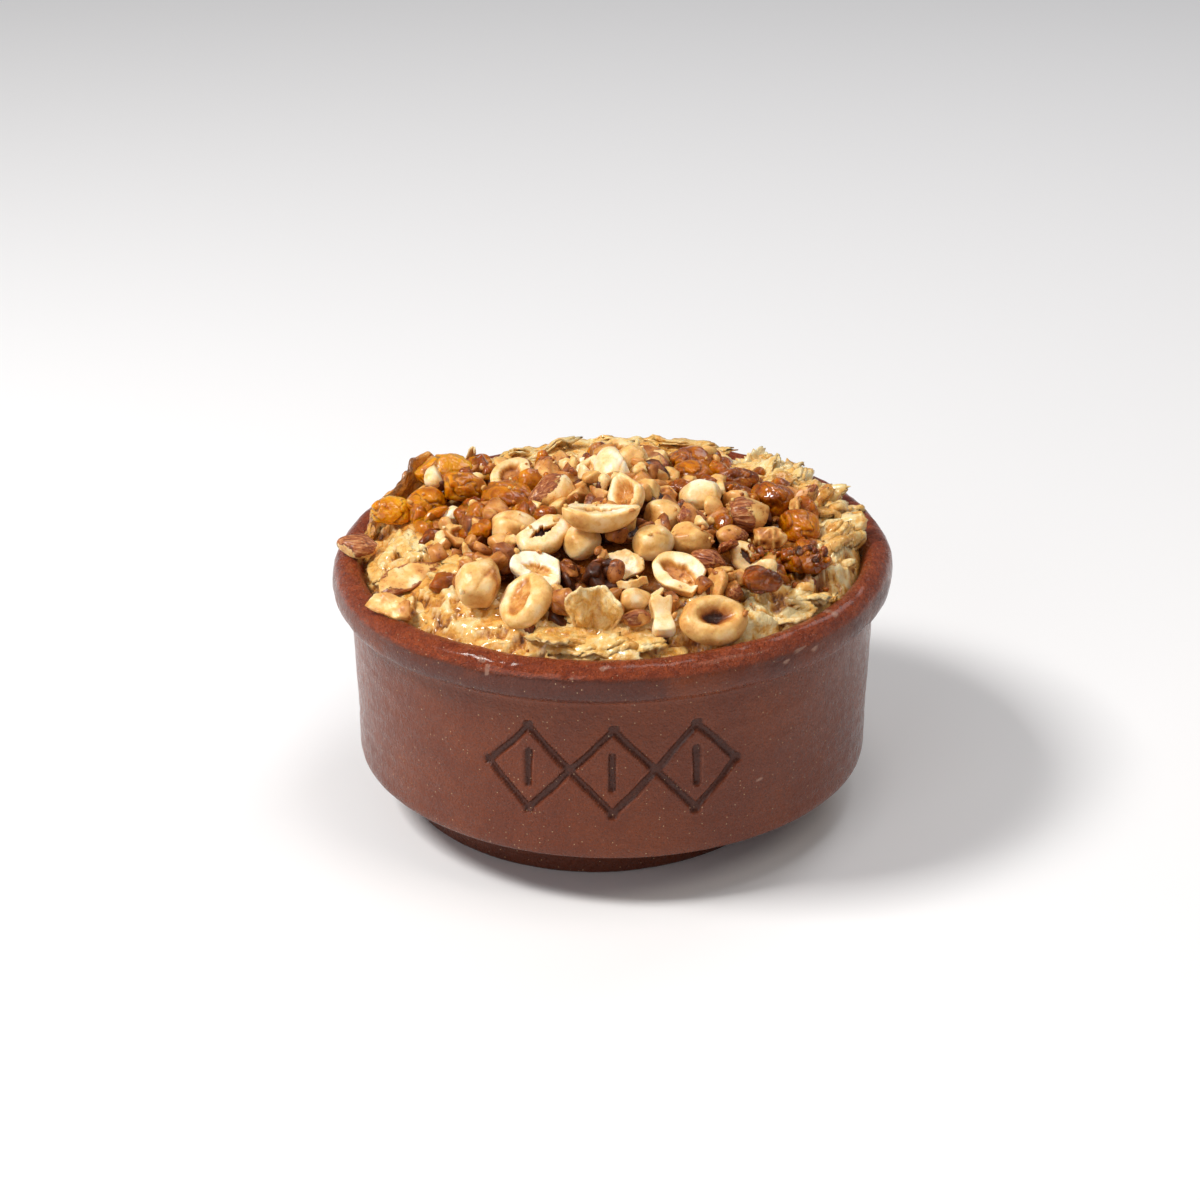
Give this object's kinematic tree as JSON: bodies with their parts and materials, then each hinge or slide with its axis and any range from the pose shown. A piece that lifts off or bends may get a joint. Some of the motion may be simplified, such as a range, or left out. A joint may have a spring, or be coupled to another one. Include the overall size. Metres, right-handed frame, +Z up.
{
  "type": "umm ali in a clay bowl",
  "caption": "Baked pastry pudding domed above the rim of a glazed clay bowl with a collar, topped with a heap of hazelnuts, almonds and sultanas.",
  "frame": {"origin": "on the table, under the axis of the bowl's wall and rim, which is the bottom centre of the box", "axes": "+Z up out of the bowl; -Y towards the front, where the incised band is; +X to the right"},
  "size_m": [0.1374, 0.1362, 0.0876],
  "materials": {
    "glazed_clay": "thin brown glaze over red earthenware, satin to glossy, worn on the rim, speckled",
    "pastry": null,
    "blanched_hazelnut": null,
    "roast_nut": null,
    "almond_skin": null,
    "sultana": null
  },
  "bodies": {
    "root": {"almond_dark": "almond_skin", "almond_large": "roast_nut", "almond_low": "almond_skin", "almond_red": "almond_skin", "almond_right": "almond_skin", "almond_rim": "almond_skin", "almond_skin_chip": "almond_skin", "almond_slice": "roast_nut", "almond_tan": "roast_nut", "bowl": "glazed_clay", "flake_front": "pastry", "hazelnut_back_half": "roast_nut", "hazelnut_boat": "blanched_hazelnut", "hazelnut_brown": "blanched_hazelnut", "hazelnut_cream": "blanched_hazelnut", "hazelnut_curved": "blanched_hazelnut", "hazelnut_dark": "blanched_hazelnut", "hazelnut_edge": "blanched_hazelnut", "hazelnut_green": "blanched_hazelnut", "hazelnut_left_half": "roast_nut", "hazelnut_long": "blanched_hazelnut", "hazelnut_pale": "blanched_hazelnut", "hazelnut_pale_back": "blanched_hazelnut", "hazelnut_pointed": "blanched_hazelnut", "hazelnut_red_half": "almond_skin", "hazelnut_ring": "blanched_hazelnut", "hazelnut_rounded": "blanched_hazelnut", "hazelnut_shaded": "blanched_hazelnut", "hazelnut_slit": "blanched_hazelnut", "hazelnut_smooth": "blanched_hazelnut", "hazelnut_top": "roast_nut", "hazelnut_white": "blanched_hazelnut", "hazelnut_whole": "blanched_hazelnut", "hazelnut_yellow": "blanched_hazelnut", "nut_amber": "roast_nut", "nut_flat_rim": "roast_nut", "nut_left_block": "blanched_hazelnut", "nut_left_small": "blanched_hazelnut", "nut_orange": "roast_nut", "nut_pale_lower": "blanched_hazelnut", "nut_pale_wedge": "blanched_hazelnut", "nut_red_strip": "almond_skin", "nut_right_crusty": "roast_nut", "nut_right_low": "roast_nut", "nut_right_tan": "roast_nut", "pudding": "pastry", "saddle_front": "blanched_hazelnut", "sultana_big": "sultana", "sultana_dark": "sultana", "sultana_glossy": "sultana", "sultana_inner": "sultana", "sultana_left": "sultana", "sultana_middle": "sultana", "sultana_mound": "sultana", "sultana_ridge": "sultana", "sultana_ridge_left": "sultana", "sultana_right": "sultana", "sultana_syrupy": "sultana", "sultana_top": "sultana"}
  },
  "joints": []
}
